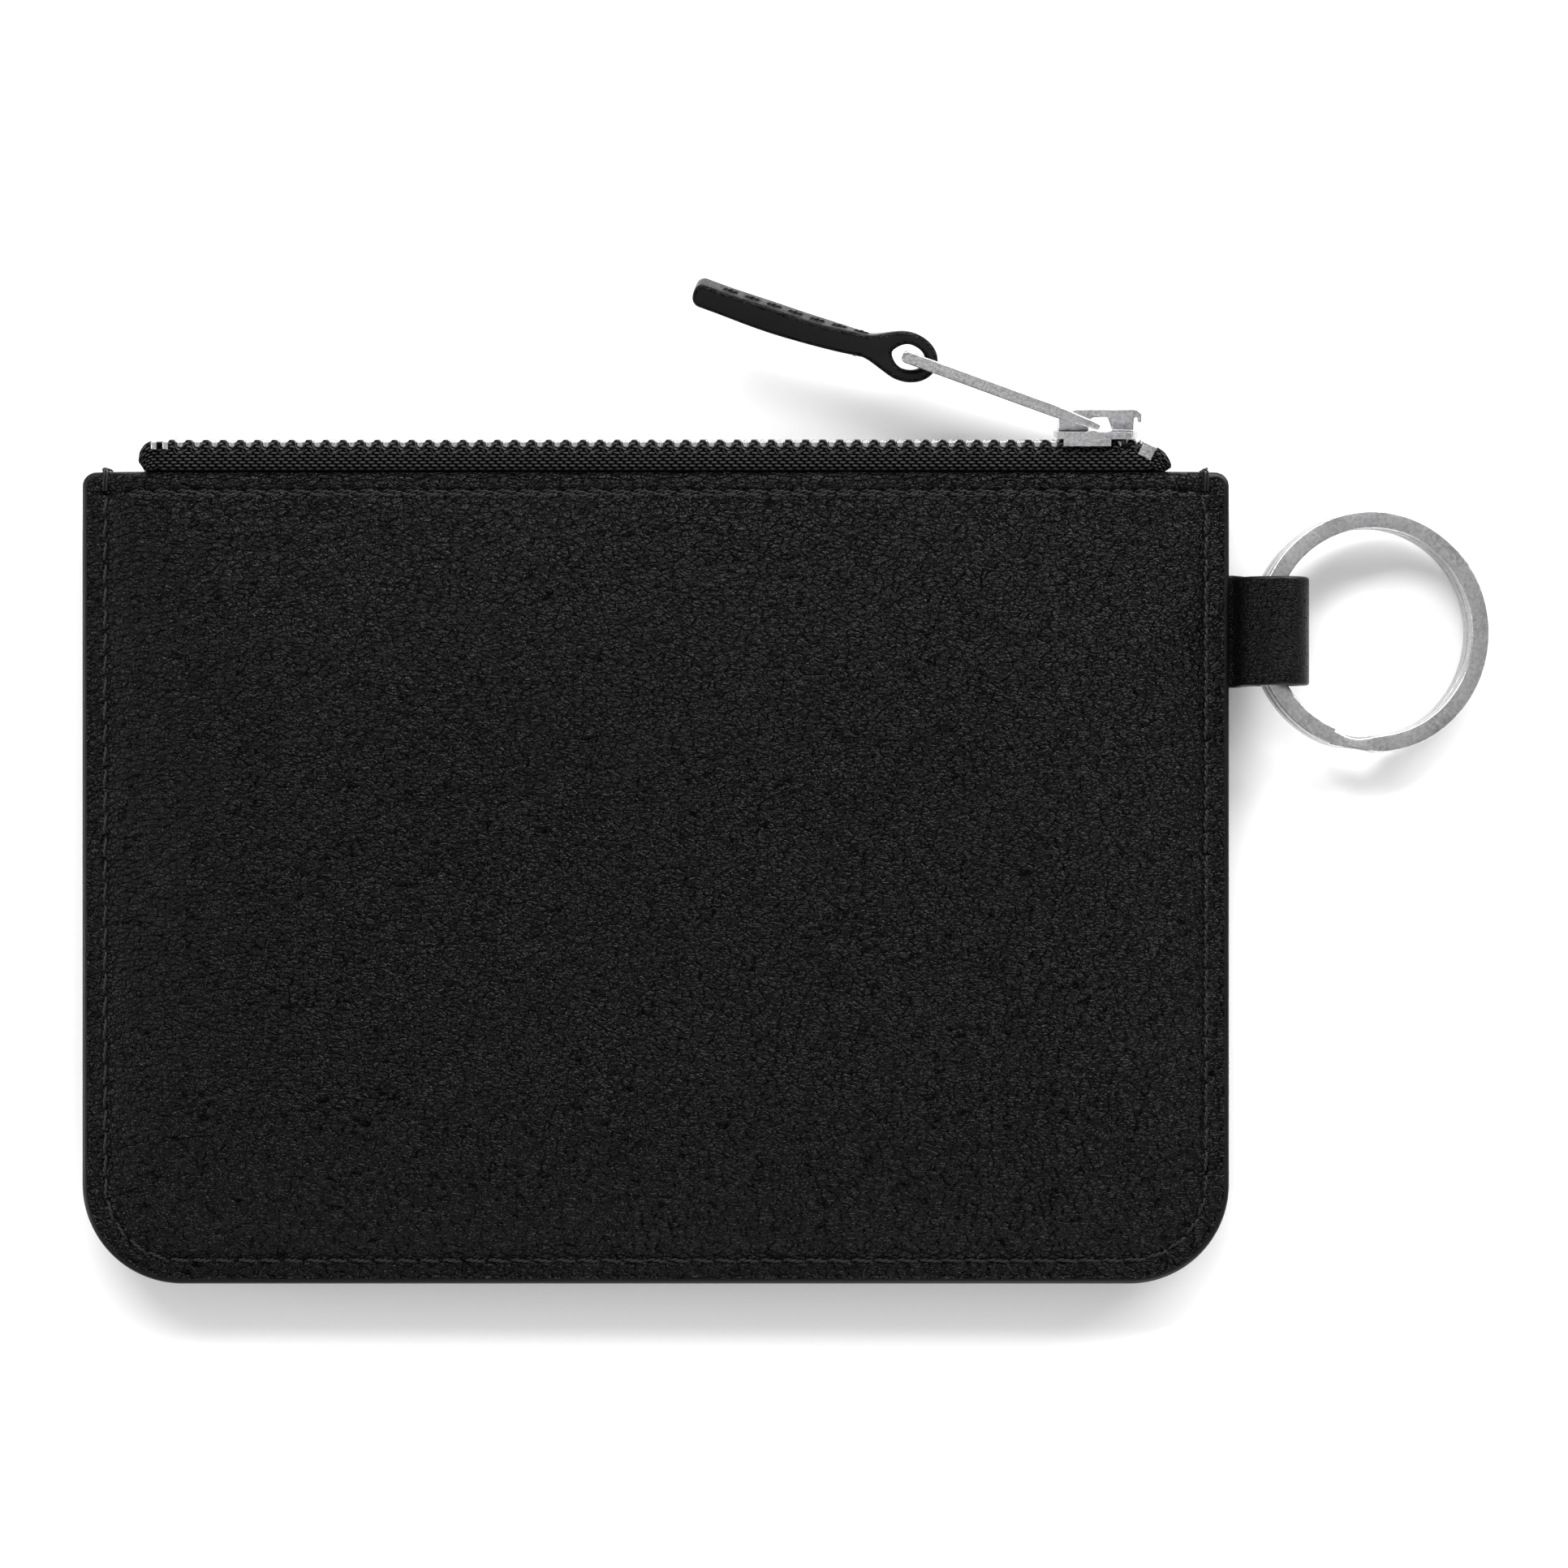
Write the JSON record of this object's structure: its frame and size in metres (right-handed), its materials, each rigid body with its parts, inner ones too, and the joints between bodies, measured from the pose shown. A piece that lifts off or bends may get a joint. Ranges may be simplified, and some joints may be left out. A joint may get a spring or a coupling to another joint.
{
  "type": "coin purse",
  "caption": "Flat zipped leather coin purse with a metal zip, a leather zip puller, and a leather side loop that holds a split key ring.",
  "frame": {"origin": "middle of the back panel's flat face, which the purse lies on", "axes": "+X along the zip towards its closed end and the key ring, +Y from the pouch's bottom to its mouth, +Z out of the front panel"},
  "size_m": [0.1629, 0.1157, 0.011],
  "materials": {
    "leather": "fine pebbled grain, satin",
    "strap_leather": "smooth grain with painted edges",
    "lining": "plain woven",
    "zip_tape": "herringbone woven",
    "thread": "twisted, waxed",
    "nickel": "polished nickel plate",
    "steel": "tumbled steel"
  },
  "bodies": {
    "pouch": {"front_panel": "leather", "back_panel": "leather", "front_lining": "lining", "back_lining": "lining", "front_seam_thread": "thread", "back_seam_thread": "thread", "front_mouth_thread": "thread", "back_mouth_thread": "thread", "front_zip_tape": "zip_tape", "back_zip_tape": "zip_tape", "front_tooth_row": "nickel", "back_tooth_row": "nickel", "bottom_stop": "nickel", "front_top_stop": "nickel", "back_top_stop": "nickel", "key_loop_tail": "strap_leather"},
    "slider": {"slider_body": "nickel", "slider_crown": "nickel", "lock_spring": "steel"},
    "pull": {"pull_tab": "nickel"},
    "strap": {"puller_leather": "strap_leather", "puller_needle_thread": "thread", "puller_bobbin_thread": "thread"},
    "loop": {"key_loop": "strap_leather"},
    "ring": {"split_ring": "steel"}
  },
  "joints": [
    {"name": "slider_travel", "type": "slide", "parent": "pouch", "child": "slider", "axis": [-1, 0, 0], "range_m": [0, 0.1008], "deforming": ["front_tooth_row", "back_tooth_row", "front_zip_tape", "back_zip_tape"]},
    {"name": "pull_swing", "type": "hinge", "parent": "slider", "child": "pull", "pos_m": [0.0506, 0.05233, 0.00598], "axis": [0, 0.1392, -0.9903], "range_deg": [-15, 145]},
    {"name": "strap_swing", "type": "hinge", "parent": "pull", "child": "strap", "pos_m": [0.02893, 0.06009, 0.00707], "axis": [0, -0.1392, 0.9903], "range_deg": [-75, 35]},
    {"name": "loop_flex", "type": "hinge", "parent": "pouch", "child": "loop", "pos_m": [0.06725, 0.02845, 0.0052], "axis": [0, 1, 0], "range_deg": [-40, 30]},
    {"name": "ring_swing", "type": "hinge", "parent": "loop", "child": "ring", "pos_m": [0.07065, 0.02845, 0.00605], "axis": [0, 1, 0], "range_deg": [-128, 108]}
  ]
}
